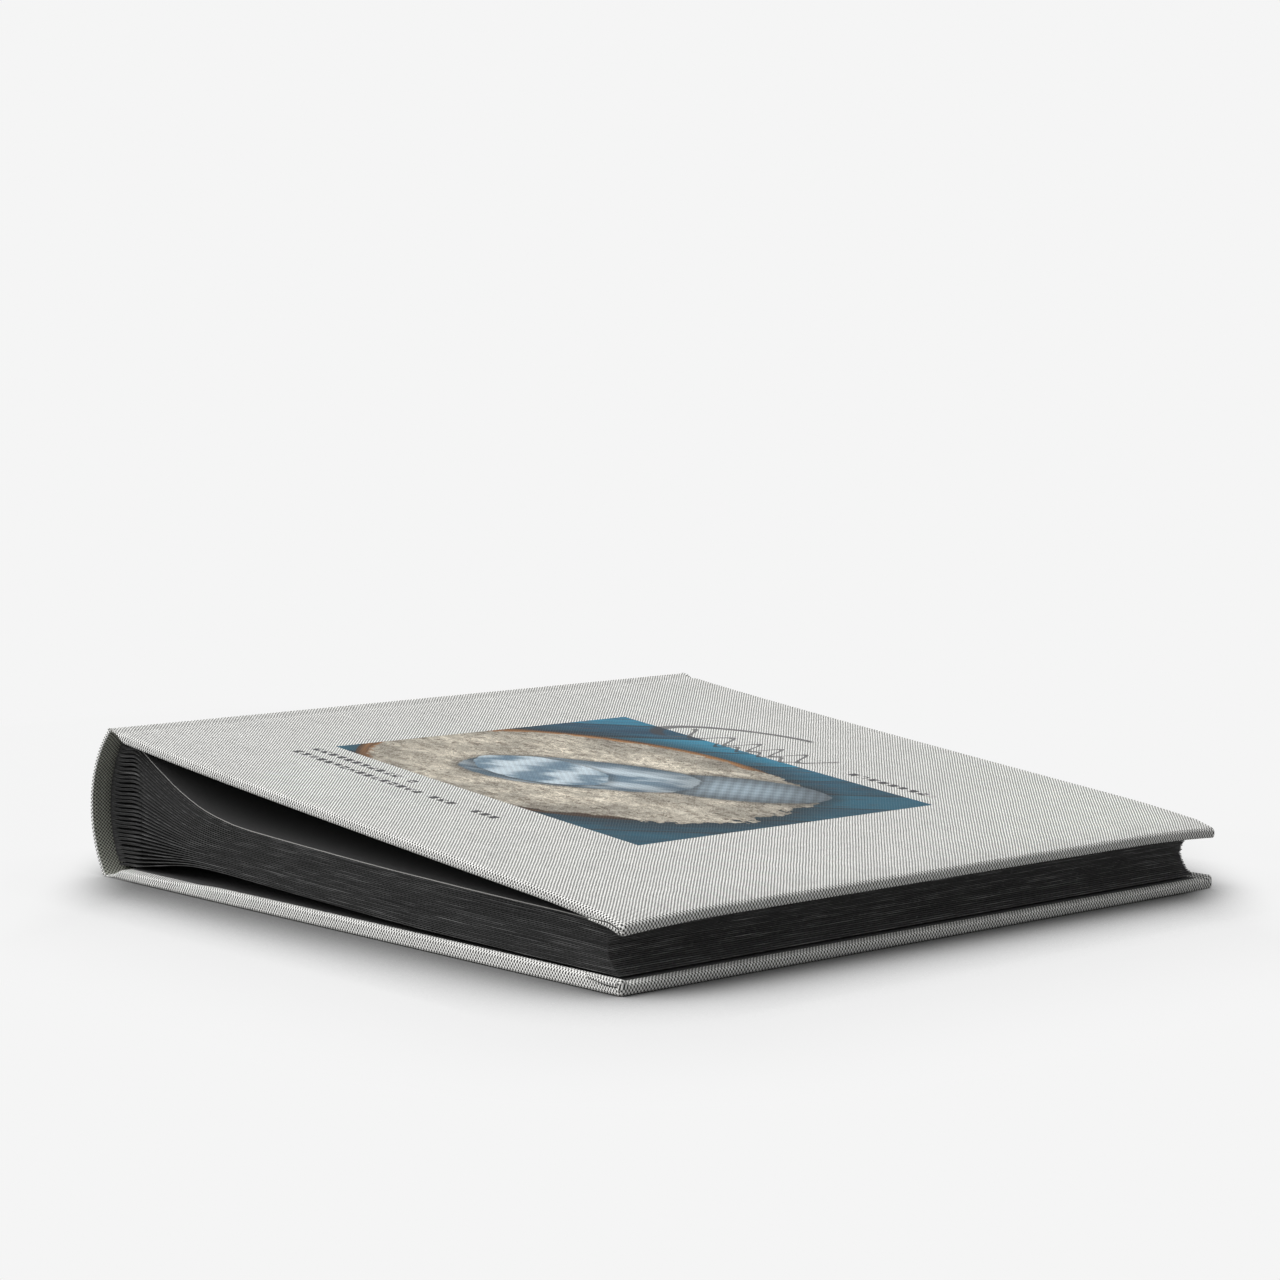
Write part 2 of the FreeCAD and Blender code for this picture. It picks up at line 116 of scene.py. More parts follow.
_, cloth_s1, _, cloth_n1 = cover_extent("front_cover_cloth")
board_s0, board_s1, board_n0, board_n1 = cover_extent("front_board")
infill_s0, infill_s1, infill_n0, infill_n1 = cover_extent("front_infill_card")
paper_s0, paper_s1, paper_n0, paper_n1 = cover_extent("front_pasted_paper")
back_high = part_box("back_cover_cloth")[1]
back_board_low, back_board_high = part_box("back_board")
back_infill_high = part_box("back_infill_card")[1]
HALF = back_high.y
LEAF_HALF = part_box("back_pasted_paper")[1].y
TURN_IN = back_board_high.x + 0.5 * MM - back_infill_high.x
print(f"front cover slopes {math.degrees(slope):.2f} degrees and is {cloth_s1 / MM:.1f} mm long")

# %% [markdown]
# ## Camera, floor and light
#
# The camera stands low, near the fore corner at the tail, with a long lens.

# %% Camera
camera = bpy.data.objects.new("camera", bpy.data.cameras.new("camera"))
bpy.context.scene.collection.objects.link(camera)
camera.location = (0.93452, -0.84097, 0.21874)
turn, dip = math.radians(-48.28), math.radians(5.54)
forward = Vector((math.sin(turn) * math.cos(dip), math.cos(turn) * math.cos(dip), -math.sin(dip)))
camera.rotation_mode = "QUATERNION"
camera.rotation_quaternion = forward.to_track_quat("-Z", "Y")
camera.data.sensor_width = 36
camera.data.lens = 90.2
camera.data.clip_start, camera.data.clip_end = 0.01, 200
bpy.context.scene.camera = camera
bpy.context.scene.view_settings.view_transform = "Standard"
print("camera", [round(v, 3) for v in camera.location])

# %% [markdown]
# A material here is a small tree of nodes. To keep that short, a Signal wraps one output of
# a node, so that plus, times and the like add the next node.


# %% Signals for node trees
class Signal:
    """One number that flows through a material."""

    def __init__(self, tree, socket):
        self.tree, self.socket = tree, socket

    def math(self, operation, *others):
        node = self.tree.nodes.new("ShaderNodeMath")
        node.operation = operation
        for place, value in enumerate((self, *others)):
            connect(self.tree, value, node.inputs[place])
        return Signal(self.tree, node.outputs[0])

    def ramp(self, low, high, out_low=0.0, out_high=1.0):
        """Rises smoothly from out_low at low to out_high at high."""
        node = self.tree.nodes.new("ShaderNodeMapRange")
        node.interpolation_type = "SMOOTHSTEP"
        connect(self.tree, self, node.inputs["Value"])
        names = ("From Min", "From Max", "To Min", "To Max")
        for name, value in zip(names, (low, high, out_low, out_high)):
            node.inputs[name].default_value = value
        return Signal(self.tree, node.outputs["Result"])


def signal_method(operation):
    return lambda signal, *others: signal.math(operation, *others)


OPERATIONS = {
    "__add__": "ADD", "__sub__": "SUBTRACT", "__mul__": "MULTIPLY", "__truediv__": "DIVIDE",
    "__pow__": "POWER", "sin": "SINE", "abs": "ABSOLUTE", "fract": "FRACT", "floor": "FLOOR",
    "least": "MINIMUM", "most": "MAXIMUM",
}
for method, operation in OPERATIONS.items():
    setattr(Signal, method, signal_method(operation))
print("signals know", *OPERATIONS)

# %% [markdown]
# The materials share a few nodes: noise, random numbers, blends, coordinates and bumps.


# %% Nodes that the materials share
def connect(tree, value, socket):
    """Puts a signal, a number or a colour on a socket."""
    if isinstance(value, Signal):
        tree.links.new(value.socket, socket)
    elif isinstance(value, (int, float)):
        socket.default_value = value
    else:
        socket.default_value = (*value, 1.0) if len(value) == 3 else value


def vector(tree, x, y, z=0.0):
    """Three signals as one position."""
    node = tree.nodes.new("ShaderNodeCombineXYZ")
    for value, socket in zip((x, y, z), node.inputs):
        connect(tree, value, socket)
    return Signal(tree, node.outputs[0])


def clouds(tree, position, scale, detail=2.0, rough=0.5):
    """Smooth noise from 0 to 1, about 0.5 on average."""
    node = tree.nodes.new("ShaderNodeTexNoise")
    node.inputs["Scale"].default_value = scale
    node.inputs["Detail"].default_value = detail
    node.inputs["Roughness"].default_value = rough
    connect(tree, position, node.inputs["Vector"])
    return Signal(tree, node.outputs[0])


def dice(tree, x, y=0.0):
    """A random number from 0 to 1 for each pair of numbers."""
    node = tree.nodes.new("ShaderNodeTexWhiteNoise")
    node.noise_dimensions = "2D"
    connect(tree, vector(tree, x, y), node.inputs["Vector"])
    return Signal(tree, node.outputs["Value"])


def blend_colours(tree, amount, first, second, mode="MIX"):
    """First where amount is 0, second where it is 1."""
    node = tree.nodes.new("ShaderNodeMix")
    node.data_type, node.blend_type, node.clamp_factor = "RGBA", mode, True
    connect(tree, amount, node.inputs[0])
    connect(tree, first, node.inputs[6])
    connect(tree, second, node.inputs[7])
    return Signal(tree, node.outputs[2])


def times(tree, colour, signal):
    """A colour made lighter or darker by a signal."""
    return blend_colours(tree, 1.0, colour, vector(tree, signal, signal, signal), "MULTIPLY")


def coordinates(tree, kind):
    """The x, y and z signals of the UV map or of the object's own position."""
    source = tree.nodes.new("ShaderNodeTexCoord").outputs[kind]
    split = tree.nodes.new("ShaderNodeSeparateXYZ")
    tree.links.new(source, split.inputs[0])
    return [Signal(tree, output) for output in split.outputs]


def start_material(name, roughness, specular, sheen=0.0):
    """A material with one plain surface shader. Returns it, its tree and the shader."""
    material = bpy.data.materials.new(name)
    material.use_nodes = True
    tree = material.node_tree
    shader = tree.nodes["Principled BSDF"]
    shader.inputs["Roughness"].default_value = roughness
    shader.inputs["Specular IOR Level"].default_value = specular
    shader.inputs["Sheen Weight"].default_value = sheen
    return material, tree, shader


def surface_from(tree, shader, colour, height, depth, strength):
    """Gives the shader its colour, and a bump as deep as height times depth."""
    connect(tree, colour, shader.inputs["Base Color"])
    node = tree.nodes.new("ShaderNodeBump")
    node.inputs["Distance"].default_value = depth
    node.inputs["Strength"].default_value = strength
    connect(tree, height, node.inputs["Height"])
    tree.links.new(node.outputs[0], shader.inputs["Normal"])


print("node helpers ready")

# %% [markdown]
# The floor looks pale but bounces light up as a darker table would. It takes the album's
# shadow, and close to the album ambient occlusion darkens its colour further, as painted
# shade. Further out it turns into the plain background colour, so no horizon shows.

# %% Floor
BACKGROUND = 0.913
FLOOR_BOUNCE = 0.3
FLOOR_SIZE = 60
PAINTED_SHADE_REACH, PAINTED_SHADE_POWER = 0.06, 2.3
FOOTPRINT_MIDDLE, FOOTPRINT_REACH, FOOTPRINT_HALF = -0.16, 0.33, 0.155


def seen_directly(tree):
    """1 for what the camera sees directly, in a mirror or through glass."""
    paths = tree.nodes.new("ShaderNodeLightPath").outputs
    seen = Signal(tree, paths["Is Camera Ray"])
    for name in ("Is Glossy Ray", "Is Transmission Ray"):
        seen = seen.most(Signal(tree, paths[name]))
    return seen


def mixed_shaders(tree, amount, first, second):
    """First shader where amount is 0, second where it is 1."""
    node = tree.nodes.new("ShaderNodeMixShader")
    connect(tree, amount, node.inputs[0])
    tree.links.new(first, node.inputs[1])
    tree.links.new(second, node.inputs[2])
    return node.outputs[0]


def grey(tree, kind, level):
    """A shader node of a kind, in an even grey."""
    node = tree.nodes.new(kind)
    node.inputs["Color"].default_value = (level, level, level, 1)
    return node


bpy.ops.mesh.primitive_grid_add(x_subdivisions=8, y_subdivisions=8, size=FLOOR_SIZE)
floor = bpy.context.object
floor.name = "floor"
floor_material = bpy.data.materials.new("pale_floor")
floor_material.use_nodes = True
tree = floor_material.node_tree
tree.nodes.clear()
near_floor = tree.nodes.new("ShaderNodeBsdfDiffuse")
bounce_floor = grey(tree, "ShaderNodeBsdfDiffuse", FLOOR_BOUNCE)
far_floor = grey(tree, "ShaderNodeEmission", BACKGROUND)
# Painted shade: near the album, ambient occlusion darkens the floor's colour, on top of the real shadow.
shade_occlusion = tree.nodes.new("ShaderNodeAmbientOcclusion")
shade_occlusion.inputs["Distance"].default_value = PAINTED_SHADE_REACH
shade_occlusion.samples = 12
painted_contact_shade = (Signal(tree, shade_occlusion.outputs["AO"]) ** PAINTED_SHADE_POWER) * BACKGROUND
tree.links.new(vector(tree, painted_contact_shade, painted_contact_shade, painted_contact_shade).socket, near_floor.inputs["Color"])
floor_x, floor_y, _ = coordinates(tree, "Object")
# The distance from the album's footprint, which is drawn out on the spine side.
beside = ((floor_x - FOOTPRINT_MIDDLE).abs() - FOOTPRINT_REACH).most(0.0)
before = (floor_y.abs() - FOOTPRINT_HALF).most(0.0)
distance = (beside * beside + before * before) ** 0.5
seen = seen_directly(tree)
lit = mixed_shaders(tree, seen, bounce_floor.outputs[0], near_floor.outputs[0])
# The floor also fades across the line of sight.
sideways = (floor_x * 0.67 + floor_y * 0.75).abs()
fade = distance.ramp(0.01, 0.14).most(sideways.ramp(0.205, 0.245, 0.0, 0.92))
faded = mixed_shaders(tree, fade * seen, lit, far_floor.outputs[0])
floor_output = tree.nodes.new("ShaderNodeOutputMaterial")
tree.links.new(faded, floor_output.inputs[0])
floor.data.materials.append(floor_material)
print("floor of", FLOOR_SIZE, "m")

# %% [markdown]
# The world lights the album from everywhere, more from the spine side and the tail. What the
# camera sees of it is one plain pale colour.

# %% Background
WORLD_LIGHT = 0.45
world = bpy.data.worlds.new("studio")
bpy.context.scene.world = world
world.use_nodes = True
tree = world.node_tree
tree.nodes.clear()
room = tree.nodes.new("ShaderNodeBackground")
across_x, across_y, _ = coordinates(tree, "Generated")
level = (across_x * -0.6 + 1.0 - across_y * 0.5) * WORLD_LIGHT
tree.links.new(level.socket, room.inputs["Strength"])
backdrop = grey(tree, "ShaderNodeBackground", BACKGROUND)
world_output = tree.nodes.new("ShaderNodeOutputWorld")
shown = mixed_shaders(tree, seen_directly(tree), room.outputs[0], backdrop.outputs[0])
tree.links.new(shown, world_output.inputs[0])
print("background ready")

# %% [markdown]
# Two suns add direction. Each is spread over a wide angle, so its shadows are soft.


# %% Lamps
def soft_sun(name, strength, toward, spread):
    """A sun that shines along a direction, softened over a wide angle in degrees."""
    lamp = bpy.data.lights.new(name, "SUN")
    lamp.energy, lamp.angle = strength, math.radians(spread)
    holder = bpy.data.objects.new(name, lamp)
    bpy.context.scene.collection.objects.link(holder)
    holder.rotation_mode = "QUATERNION"
    holder.rotation_quaternion = Vector(toward).to_track_quat("-Z", "Y")


soft_sun("key_lamp", 1.75, (0.45, 0.75, -0.95), 50)
soft_sun("top_lamp", 0.55, (0.1, -0.25, -1.0), 90)

# %% [markdown]
# ## Linen
#
# The cloth is a plain weave of pale threads one way and darker grey threads the other way.
# Two sine waves give the threads: where their product is positive the pale thread is on top.
# The weave is laid out in cloth distance, so it follows the linen round every edge.

# %% Linen material
THREAD = 0.75 * MM
WEAVE_DEPTH = 0.14 * MM


def weave(tree, u, v):
    """Returns which thread is on top, 0 grey to 1 pale, and the height of the surface."""
    place = vector(tree, u, v)
    sway = (clouds(tree, place, 90.0, 2.0) - 0.5) * 0.5
    across = ((u / THREAD + sway) * math.pi).sin()
    down = ((v / THREAD + sway) * math.pi).sin()
    pale = (across * down + 0.20).ramp(-0.11, 0.11)
    one = (across.abs() ** 0.7) * (down.abs() * 0.5 + 0.5)
    other = (down.abs() ** 0.7) * (across.abs() * 0.5 + 0.5)
    height = other + (one - other) * pale
    return pale, height


def thread_tone(tree, u, v):
    """Streaks along single threads, and slow changes over the cloth. About 1 on average."""
    warp = clouds(tree, vector(tree, u / THREAD, v * 60.0), 0.9, 1.0)
    weft = clouds(tree, vector(tree, u * 60.0, v / THREAD, 3.0), 0.9, 1.0)
    slow = clouds(tree, vector(tree, u, v, 0.5), 14.0, 3.0)
    return (warp - 0.5) * 0.34 + (weft - 0.5) * 0.34 + (slow - 0.5) * 0.10 + 1.0


def linen_colour(tree, u, v):
    """Colour and height of the bare linen."""
    pale, height = weave(tree, u, v)
    tone = thread_tone(tree, u, v)
    cloth = blend_colours(tree, pale, (0.03, 0.03, 0.027), (1.0, 1.0, 0.97))
    # Raised threads are painted lighter and the hollows between them darker, as painted shade of the
    # weave; tone adds the threads' own streaks.
    shade = (height * 0.90 + 0.52) * tone
    return times(tree, cloth, shade), height


linen, tree, shader = start_material("linen", 0.85, 0.25, 0.08)
u, v, _ = coordinates(tree, "UV")
colour, height = linen_colour(tree, u, v)
surface_from(tree, shader, colour, height, WEAVE_DEPTH, 0.7)

# The inside of the spine shell gets a darker copy of the linen: painted shade, where leaves and covers
# keep the light out. Its threads are also painted darker in their hollows.
shaded_linen, tree, shader = start_material("painted_shade_spine_linen", 0.9, 0.2, 0.05)
u, v, _ = coordinates(tree, "UV")
pale, height = weave(tree, u, v)
shaded_weave_tone = thread_tone(tree, u, v) * (height * 0.5 + 0.6)
shaded_weave_colour = blend_colours(tree, pale, (0.04, 0.042, 0.034), (0.62, 0.63, 0.55))
surface_from(tree, shader, times(tree, shaded_weave_colour, shaded_weave_tone), height, 0.10 * MM, 0.6)
print("linen thread", THREAD / MM, "mm")

# %% [markdown]
# The picture is printed on the cloth, so the weave shows through it. Each shape in it is a
# distance that a ramp turns into a mask.

# %% Boards, fleece and blanket of the printed picture
PRINT_LEFT, PRINT_RIGHT = 60.5 * MM, 239.5 * MM
PRINT_LOW, PRINT_HIGH = -85.0 * MM, 67.0 * MM


def turned(x, y, centre_x, centre_y, degrees):
    """Position measured from a centre, along axes turned by an angle."""
    c, s = math.cos(math.radians(degrees)), math.sin(math.radians(degrees))
    dx, dy = x - centre_x, y - centre_y
    return dx * c + dy * s, dy * c - dx * s


def oval(x, y, reach_x, reach_y):
    """1 on an oval's line, less inside, more outside."""
    return ((x / reach_x) ** 2.0 + (y / reach_y) ** 2.0) ** 0.5


def painted_boards(tree, x, y):
    """Old boards with worn teal paint, along a slanting direction."""
    a, b = turned(x, y, 0.0, 0.0, 57)
    plank = b / 0.24 + 0.3
    crack = (plank.fract() - 0.5).abs().ramp(0.44, 0.485)
    streaks = clouds(tree, vector(tree, a * 1.3, b * 14.0), 2.0, 5.0, 0.7)
    tint = dice(tree, plank.floor())
    paint = blend_colours(tree, (tint * 0.35 + streaks * 0.65).ramp(0.25, 0.72),
                          (0.006, 0.04, 0.08), (0.035, 0.26, 0.40))
    chips = clouds(tree, vector(tree, a * 2.0 + 5.0, b * 12.0), 2.6, 5.0, 0.75).ramp(0.56, 0.66)
    paint = blend_colours(tree, chips * 0.75, paint, (0.10, 0.07, 0.06))
    paint = times(tree, paint, x.ramp(1.0, 1.6, 1.0, 0.42))
    return blend_colours(tree, crack * 0.8, paint, (0.012, 0.022, 0.03))


def fleece(tree, x, y, edge, tuft):
    """Cream wool in tufts that lean outward from the bowl's middle."""
    strands = clouds(tree, vector(tree, x * 7.0 + tuft * 30.0, y * 20.0 - tuft * 45.0), 1.7, 5.0, 0.75)
    cross = clouds(tree, vector(tree, x * 21.0 - tuft * 50.0, y * 8.0), 1.7, 5.0, 0.75)
    locks = clouds(tree, vector(tree, x, y, 2.0), 4.0, 3.0)
    hair = strands.most(cross).ramp(0.38, 0.66)
    wool = blend_colours(tree, hair, (0.15, 0.105, 0.065), (1.0, 0.93, 0.78))
    return times(tree, wool, locks.ramp(0.35, 0.65, 0.60, 1.15) * edge.ramp(0.45, 0.97, 1.05, 0.72))


def folded_blanket(tree, x, y, ripple):
    """Pale blue knit, wrapped in long folds."""
    fold = (y * 26.0 + ripple * 9.0 + x * 5.0).sin() * 0.5 + 0.5
    shade = (fold * 0.6 + ripple * 0.5).ramp(0.15, 0.95)
    knit = (x * 190.0).sin() * (y * 190.0).sin() * 0.12 + 1.0
    return times(tree, blend_colours(tree, shade, (0.12, 0.20, 0.27), (0.60, 0.70, 0.76)), knit)


print("print is", round((PRINT_RIGHT - PRINT_LEFT) / MM), "mm wide")

# %% [markdown]
# The picture is built like a collage: boards, the bowl with its fleece, a knitted roll, and a
# blanket with a loose fold. Each piece darkens what lies under its edge, as a soft shadow.


# %% Printed picture
def picture_of_bowl(tree, x, y):
    """Colour of the printed picture. x and y run from 0 at its lower left, in decimetres."""
    boards = painted_boards(tree, x, y)
    bowl_x, bowl_y = turned(x, y, 0.755, 0.59, 20)
    edge = oval(bowl_x, bowl_y, 0.90, 0.73)
    boards = times(tree, boards, edge.ramp(1.0, 1.25, 0.30, 1.0))
    rings = clouds(tree, vector(tree, edge * 40.0, bowl_x * 1.2, bowl_y * 1.2), 1.4, 3.0)
    light_side = (bowl_y - bowl_x * 0.5).ramp(-0.2, 0.7, 0.25, 1.0)
    wood = blend_colours(tree, rings.ramp(0.3, 0.7), (0.10, 0.04, 0.015), (0.60, 0.28, 0.09))
    wood = times(tree, wood, light_side * edge.ramp(0.93, 1.0, 1.0, 0.35))
    spill = bowl_x.ramp(0.42, 0.80)
    tuft = (clouds(tree, vector(tree, x, y), 8.0, 4.0, 0.65) - 0.5) * 0.20
    wool = fleece(tree, bowl_x, bowl_y, edge, tuft)
    ragged = edge + tuft * (spill * 1.4 + 0.8) - spill * 0.10
    inside = blend_colours(tree, ragged.ramp(0.925, 0.945), wool, wood)
    outline = edge.least(ragged + 0.06)
    scene = blend_colours(tree, outline.ramp(0.992, 1.0), inside, boards)
    knit_x, knit_y = turned(x, y, 1.24, 0.98, 40)
    roll_edge = oval(knit_x, knit_y, 0.38, 0.21) + tuft * 0.5
    ribs = ((knit_x * 150.0).sin() * 0.35 + (knit_y * 120.0).sin() * 0.25) * 0.4 + 0.9
    roll = times(tree, (0.27, 0.34, 0.39), ribs * roll_edge.ramp(0.2, 1.05, 1.25, 0.45))
    scene = times(tree, scene, roll_edge.ramp(0.98, 1.25, 0.5, 1.0))
    scene = blend_colours(tree, roll_edge.ramp(0.985, 1.01), roll, scene)
    cloth_x, cloth_y = turned(x, y, 0.78, 0.60, 40)
    ripple = clouds(tree, vector(tree, cloth_x * 3.0, cloth_y * 9.0), 1.0, 3.0, 0.6)
    cloth_edge = ((cloth_x / 0.47).abs() ** 2.6 + (cloth_y / 0.25).abs() ** 2.2) ** 0.42
    cloth_edge = cloth_edge + (ripple - 0.5) * 0.22
    blue = times(tree, folded_blanket(tree, cloth_x, cloth_y, ripple),
                 cloth_edge.ramp(0.5, 1.0, 1.05, 0.6))
    over_x, over_y = turned(x, y, 0.66, 0.50, 12)
    over_edge = oval(over_x, over_y, 0.30, 0.20) + (ripple - 0.5) * 0.25
    over = times(tree, folded_blanket(tree, over_y, over_x, ripple), 1.12)
    blue = times(tree, blue, over_edge.ramp(0.96, 1.2, 0.45, 1.0))
    blue = blend_colours(tree, over_edge.ramp(0.98, 1.01), over, blue)
    scene = times(tree, scene, cloth_edge.ramp(0.98, 1.15, 0.45, 1.0))
    return blend_colours(tree, cloth_edge.ramp(0.985, 1.01), blue, scene)


print("picture ready")

# %% [markdown]
# Rows of dashes stand for captions, and a looping pen line that spells nothing for a name.


# %% Dashes
def between(value, low, high, soft):
    """1 between two limits, with a soft edge."""
    return value.ramp(low - soft, low + soft) * value.ramp(high - soft, high + soft, 1.0, 0.0)


def dashes(tree, u, v, left, right, level, height, pitch):
    """A row of short marks, such as a plain ruled caption."""
    row = between(v, level - height / 2, level + height / 2, 0.1 * MM)
    span = between(u, left, right, 0.1 * MM)
    mark = between((u / pitch).fract(), 0.14, 0.80, 0.06)
    broken = dice(tree, (u / pitch).floor(), level * 1000).ramp(0.12, 0.13)
    stroke = dice(tree, (u / pitch * 3.0).floor(), (v / height * 3.0).floor()).ramp(0.12, 0.14)
    return row * span * mark * broken * stroke


print("dashes ready")

# %% [markdown]
# The printed linen joins all of this. A little bare cloth shows through the ink, and the
# print sits slightly askew on the cover.

# %% Printed linen of the front cover
ASKEW_ACROSS, ASKEW_UP, ASKEW_CENTRE = 0.012, 0.017, 0.15
PRINT_SHIFT = 0.2 * MM
CAPTION_ROWS_MM = (  # left, right, level, height and pitch
    (60, 124, -95.0, 4.0, 5.0),
    (60, 184, -104.5, 4.0, 5.0),
    (183, 230, 78.0, 4.4, 5.4),
)

printed_linen, tree, shader = start_material("printed_linen", 0.85, 0.25, 0.08)
u, v, _ = coordinates(tree, "UV")
cloth, height = linen_colour(tree, u, v)
u, v = u - v * ASKEW_ACROSS + PRINT_SHIFT, v - (u - ASKEW_CENTRE) * ASKEW_UP
picture = picture_of_bowl(tree, (u - PRINT_LEFT) / 0.1, (v - PRINT_LOW) / 0.1)
ink_edge = (clouds(tree, vector(tree, u, v), 900.0, 1.0) - 0.5) * (0.4 * MM)
inked = between(u + ink_edge, PRINT_LEFT, PRINT_RIGHT, 0.15 * MM)
inked = inked * between(v + ink_edge, PRINT_LOW, PRINT_HIGH, 0.15 * MM)
thread_light = height.ramp(0.1, 0.9, 0.52, 1.30)
printed = times(tree, picture, thread_light)
bare_share = height.ramp(0.75, 1.0, 0.0, 0.10)
printed = blend_colours(tree, bare_share, printed, cloth)
surface = blend_colours(tree, inked, cloth, printed)
caption_rows = [dashes(tree, u, v, *[size * MM for size in row]) for row in CAPTION_ROWS_MM]
captions = caption_rows[0].most(caption_rows[1]).most(caption_rows[2])
swash_x, swash_y = turned(u, v, 121 * MM, 82 * MM, 28)
swash = (oval(swash_x, swash_y, 40 * MM, 22 * MM) - 1.0).abs() * (22 * MM)
swash = swash.ramp(1.12 * MM, 2.08 * MM, 1.0, 0.0)
swash = swash * swash_x.ramp(20 * MM, 24 * MM, 1.0, 0.0) * swash_y.ramp(-14 * MM, -8 * MM)
wave_x, wave_y = turned(u, v, 136 * MM, 77 * MM, 8)
pen = (wave_y - (wave_x * 420.0 + (wave_x * 90.0).sin() * 1.5).sin() * 0.0075).abs()
pen = pen.ramp(1.2 * MM, 2.1 * MM, 1.0, 0.0) * between(wave_x, -44 * MM, 32 * MM, 0.5 * MM)
second = (wave_y - (wave_x * 560.0 + 1.0).sin() * 0.0035 + 9 * MM).abs()
second = second.ramp(0.9 * MM, 1.7 * MM, 1.0, 0.0) * between(wave_x, -20 * MM, 22 * MM, 0.5 * MM)
script = swash.most(pen.most(second)) * height.ramp(0.15, 0.5)
ink = captions.most(script) * 0.95
surface = blend_colours(tree, ink, surface, (0.045, 0.045, 0.05))
surface_from(tree, shader, surface, height, WEAVE_DEPTH, 0.7)
print("printed linen", len(tree.nodes), "nodes")

# %% [markdown]
# ## A sweep
#
# Nearly every piece of a book is a line seen from the tail end, drawn out from tail to head.
# One function sweeps a ring of points that way and lays out the UV map in real distance. The
# ring goes out along one side and back along the other, so point k and point K - 1 - k face
# each other across the thickness. Cloth pulled over an edge looks coarser, so the UV map
# advances a little slower there.


# %% Meshes with cloth distances
EDGE_PULL, EDGE_WIDTH = 0.78, 1.4 * MM
LIP_UV = 0.5 * MM


def finished_mesh(name, vertices, faces, uvs, slots):
    """An object from its faces, their UV corners and material slots, with normals outward."""
    mesh = bpy.data.meshes.new(name)
    mesh.from_pydata(vertices, [], faces)
    mesh.uv_layers.new(name="cloth").data.foreach_set("uv", np.array(uvs, np.float32).ravel())
    mesh.polygons.foreach_set("material_index", np.array(slots, np.int32))
    work = bmesh.new()
    work.from_mesh(mesh)
    bmesh.ops.recalc_face_normals(work, faces=work.faces)
    work.to_mesh(mesh)
    work.free()
    mesh.polygons.foreach_set("use_smooth", [True] * len(mesh.polygons))
    piece = bpy.data.objects.new(name, mesh)
    bpy.context.scene.collection.objects.link(piece)
    return piece


def distance_up(rows, stations):
    """Cloth distance of every point of every row, measured from the middle row."""
    centre = len(stations) // 2
    edge = max(stations) - EDGE_WIDTH
    along = [[stations[centre]] * len(rows[0]) for _ in stations]
    for way, last in ((1, len(stations)), (-1, -1)):
        for j in range(centre + way, last, way):
            pull = EDGE_PULL if way * stations[j] > edge else 1.0
            before = zip(along[j - way], rows[j - way], rows[j])
            along[j] = [start + way * pull * math.dist(a, b) for start, a, b in before]
    return along


def distance_across(ring, start):
    """Cloth distance of every point of a ring, from its first point."""
    fore_edge = max(s for s, n in ring) - EDGE_WIDTH
    lengths = [start]
    for (s0, n0), (s1, n1) in zip(ring, ring[1:]):
        pull = EDGE_PULL if min(s0, s1) > fore_edge else 1.0
        lengths.append(lengths[-1] + pull * math.hypot(s1 - s0, n1 - n0))
    return lengths


print("mesh helpers ready")


# %% Sweep a ring from tail to head
def sweep(name, ring, stations, place, shape=None, closed=True, skip=None, u_start=0.0):
    """Makes a mesh. shape(k, y) may move a ring point at a station, and skip(k, y) leaves out
    a face. Faces at the ends and rims get material slot 1."""
    count = len(ring)
    shape = shape or (lambda k, y: ring[k])
    rows = [[place(*shape(k, y), y) for k in range(count)] for y in stations]
    along = distance_up(rows, stations)
    lengths = distance_across(ring, u_start)
    faces, uvs, rims = [], [], []
    half = count // 2
    for j in range(len(stations) - 1):
        middle = (stations[j] + stations[j + 1]) / 2
        for k in range(count if closed else count - 1):
            after = (k + 1) % count
            if skip and skip(k, middle):
                continue
            faces.append([j * count + k, j * count + after,
                          (j + 1) * count + after, (j + 1) * count + k])
            u0 = lengths[k]
            u1 = lengths[after] if after else u0 + LIP_UV
            uvs += [(u0, along[j][k]), (u1, along[j][after]),
                    (u1, along[j + 1][after]), (u0, along[j + 1][k])]
            rims.append(closed and after in (0, half))
    for j, side in ((0, -1), (len(stations) - 1, 1)):
        for k in range(half - 1):
            far = count - 1 - k
            face = [k, k + 1, far - 1, far]
            row = rows[j]
            depth = [0, 0, math.dist(row[k + 1], row[far - 1]), math.dist(row[k], row[far])]
            faces.append([j * count + p for p in face])
            uvs += [(lengths[c], along[j][c] + side * d * EDGE_PULL)
                    for c, d in zip((k, k + 1, k + 1, k), depth)]
            rims.append(True)
    vertices = [point for row in rows for point in row]
    return finished_mesh(name, vertices, faces, uvs, rims)


def stations_between(low, high, step, extra=()):
    """Even stations, with extra ones close to the ends, at these distances in."""
    count = max(2, round((high - low) / step))
    inner = [low + (high - low) * i / count for i in range(count + 1)]
    ends = [low + e for e in extra] + [high - e for e in extra]
    keep_out = max(extra, default=0.0)
    middle = [y for y in inner if low + keep_out < y < high - keep_out]
    return sorted({round(y, 7) for y in (low, high, *ends, *middle)})


def smooth_shading(piece, degrees):
    """Keeps edges sharper than an angle crisp."""
    piece.data.set_sharp_from_angle(angle=math.radians(degrees))


def give_materials(piece, *materials):
    for material in materials:
        piece.data.materials.append(material)


print("sweep ready")

# %% [markdown]
# ## How the covers sag
#
# A linen cover on greyboard is never quite flat. The front cover dips a little behind the
# joint. Its fore edge and its corners droop, because no leaves hold them up there.

